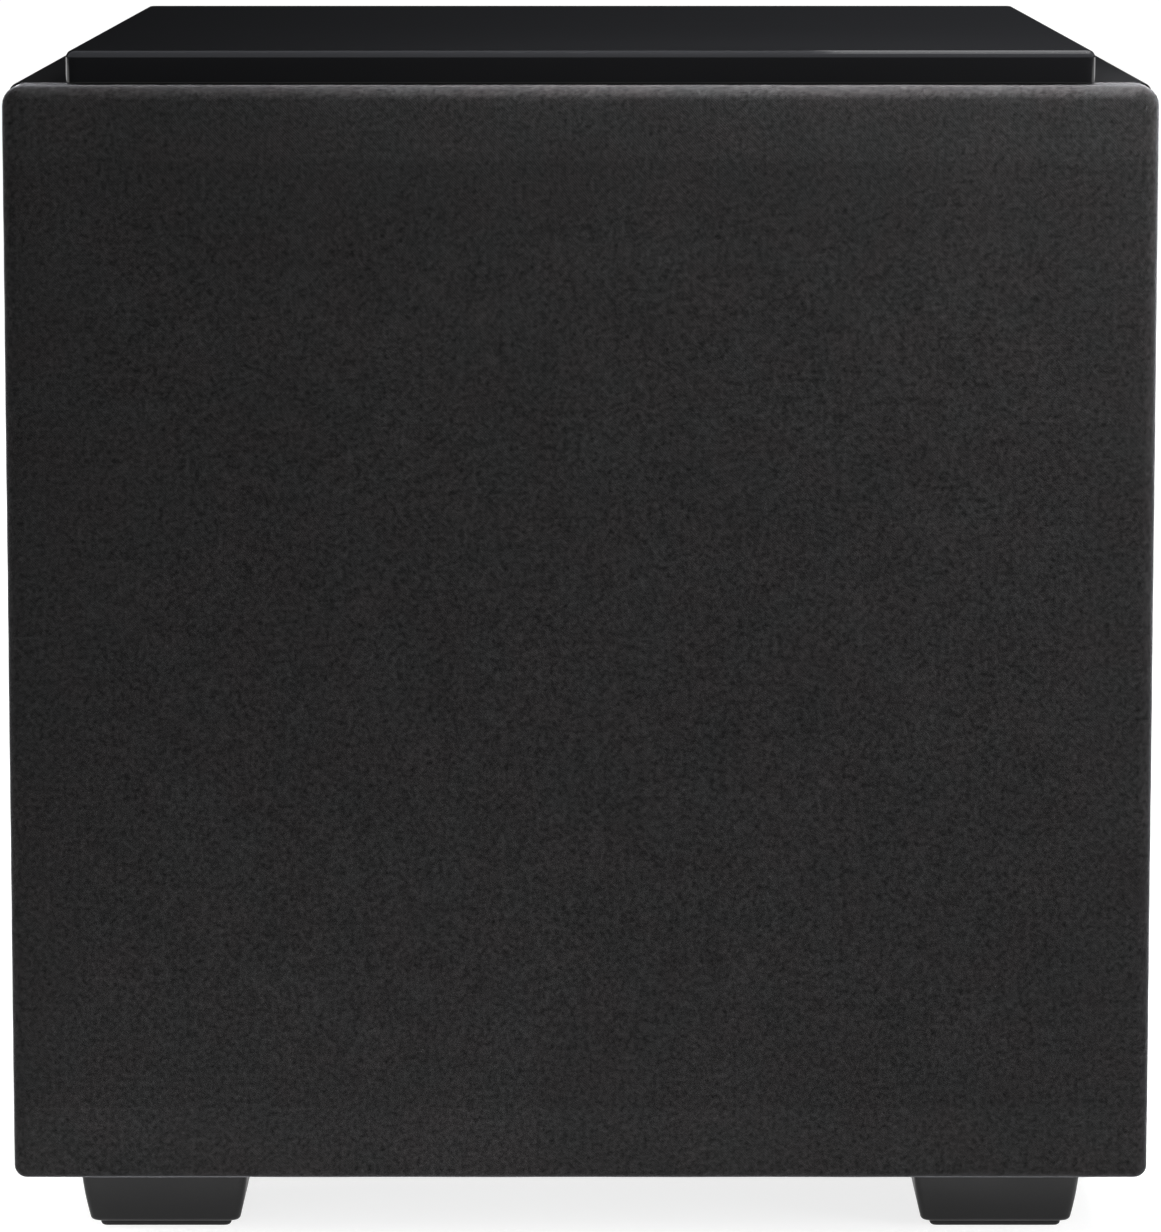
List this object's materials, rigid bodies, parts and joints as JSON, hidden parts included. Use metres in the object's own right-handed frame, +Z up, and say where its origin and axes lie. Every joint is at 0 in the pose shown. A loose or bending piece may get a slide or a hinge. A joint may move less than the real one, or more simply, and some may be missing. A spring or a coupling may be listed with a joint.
{
  "type": "subwoofer",
  "caption": "Cube-shaped powered subwoofer on tapered feet, with a raised gloss deck, a pull-off cloth grille, a front woofer, a downward passive radiator and a rear amplifier plate.",
  "frame": {"origin": "on the floor, under the middle of the whole object", "axes": "+Z up, -Y out of the front grille, +X to the right as seen from the front"},
  "size_m": [0.4, 0.444, 0.421],
  "materials": {
    "vinyl_wrap": "fine-grained satin black vinyl",
    "fibreboard": "raw medium-density fibreboard",
    "painted_baffle": "fibreboard painted matt black",
    "gloss_lacquer": "black gloss lacquer",
    "grille_fabric": "fine knitted grille cloth, matt",
    "grille_plastic": "moulded, lightly textured",
    "foot_plastic": "moulded, satin",
    "pad_rubber": "soft black rubber",
    "surround_rubber": "butyl rubber, satin",
    "cast_basket": "black powder coat",
    "cone_paper": "coated pressed paper fibre",
    "magnet_steel": "zinc plated",
    "ferrite": "sintered, matt",
    "coil_copper": "enamelled copper wire",
    "coil_foil": "bright foil",
    "spider_cloth": "resin-stiffened woven cloth",
    "terminal_plastic": "moulded",
    "anodised_plate": "black anodised",
    "circuit_laminate": "solder-masked laminate",
    "transformer_core": "varnished laminations",
    "capacitor_sleeve": "shrunk sleeve",
    "knob_plastic": "moulded, satin",
    "lamp_lens": "clear tinted",
    "jack_metal": "gold flashed",
    "wire_sleeve": "flexible black sleeve"
  },
  "bodies": {
    "cabinet": {"cabinet_wrap": "vinyl_wrap", "side_board_left": "fibreboard", "side_board_right": "fibreboard", "top_board": "fibreboard", "bottom_board": "fibreboard", "back_board": "fibreboard", "window_brace": "fibreboard", "front_baffle": "painted_baffle", "top_deck": "gloss_lacquer", "foot_front_left": "foot_plastic", "foot_front_right": "foot_plastic", "foot_rear_left": "foot_plastic", "foot_rear_right": "foot_plastic", "foot_pad_front_left": "pad_rubber", "foot_pad_front_right": "pad_rubber", "foot_pad_rear_left": "pad_rubber", "foot_pad_rear_right": "pad_rubber", "peg_cup_upper_left": "pad_rubber", "peg_cup_upper_right": "pad_rubber", "peg_cup_lower_left": "pad_rubber", "peg_cup_lower_right": "pad_rubber", "woofer_surround": "surround_rubber", "radiator_surround": "surround_rubber", "woofer_gasket": "surround_rubber", "amplifier_gasket": "surround_rubber", "woofer_basket": "cast_basket", "radiator_frame": "cast_basket", "magnet_top_plate": "magnet_steel", "pole_and_back_plate": "magnet_steel", "ferrite_magnet": "ferrite", "woofer_spider": "spider_cloth", "radiator_spider": "spider_cloth", "woofer_terminals": "terminal_plastic", "amplifier_plate": "anodised_plate", "heatsink": "anodised_plate", "circuit_board": "circuit_laminate", "power_transformer": "transformer_core", "reservoir_capacitor_upper": "capacitor_sleeve", "reservoir_capacitor_lower": "capacitor_sleeve", "mains_inlet": "knob_plastic", "status_lamp": "lamp_lens", "phono_jack_low_frequency": "jack_metal", "phono_jack_left": "jack_metal", "phono_jack_right": "jack_metal", "woofer_harness": "wire_sleeve"},
    "grille": {"grille_frame": "grille_plastic", "grille_cloth": "grille_fabric"},
    "woofer_motion": {"woofer_cone": "cone_paper", "woofer_dust_cap": "cone_paper", "coil_former": "coil_foil", "voice_coil": "coil_copper"},
    "radiator_motion": {"radiator_cone": "cone_paper", "radiator_cap": "cone_paper", "radiator_weight": "magnet_steel"},
    "volume_control": {"volume_knob": "knob_plastic"},
    "crossover_control": {"crossover_knob": "knob_plastic"},
    "phase_slider": {"phase_switch": "knob_plastic"},
    "power_mode_slider": {"power_mode_switch": "knob_plastic"},
    "rocker": {"power_rocker": "knob_plastic"},
    "fuse_holder": {"fuse_drawer": "knob_plastic"}
  },
  "joints": [
    {"name": "grille_pull", "type": "slide", "parent": "cabinet", "child": "grille", "axis": [0, -1, 0], "range_m": [0, 0.2]},
    {"name": "woofer_stroke", "type": "slide", "parent": "cabinet", "child": "woofer_motion", "axis": [0, -1, 0], "range_m": [-0.012, 0.012], "stiffness_N_per_m": 3500, "deforming": ["woofer_surround", "woofer_spider"]},
    {"name": "radiator_stroke", "type": "slide", "parent": "cabinet", "child": "radiator_motion", "axis": [0, 0, 1], "range_m": [-0.01, 0.01], "stiffness_N_per_m": 6000, "deforming": ["radiator_surround", "radiator_spider"]},
    {"name": "volume_turn", "type": "hinge", "parent": "cabinet", "child": "volume_control", "pos_m": [0.074, 0.2106, 0.3265], "axis": [0, -1, 0], "range_deg": [-150, 150]},
    {"name": "crossover_turn", "type": "hinge", "parent": "cabinet", "child": "crossover_control", "pos_m": [0.018, 0.2106, 0.3265], "axis": [0, -1, 0], "range_deg": [-150, 150]},
    {"name": "phase_slide", "type": "slide", "parent": "cabinet", "child": "phase_slider", "axis": [1, 0, 0], "range_m": [0, 0.004]},
    {"name": "power_mode_slide", "type": "slide", "parent": "cabinet", "child": "power_mode_slider", "axis": [1, 0, 0], "range_m": [-0.003, 0.003]},
    {"name": "rocker_tilt", "type": "hinge", "parent": "cabinet", "child": "rocker", "pos_m": [-0.033, 0.2096, 0.1125], "axis": [1, 0, 0], "range_deg": [-16, 0]},
    {"name": "fuse_drawer_slide", "type": "slide", "parent": "cabinet", "child": "fuse_holder", "axis": [0, 1, 0], "range_m": [0, 0.02]}
  ]
}
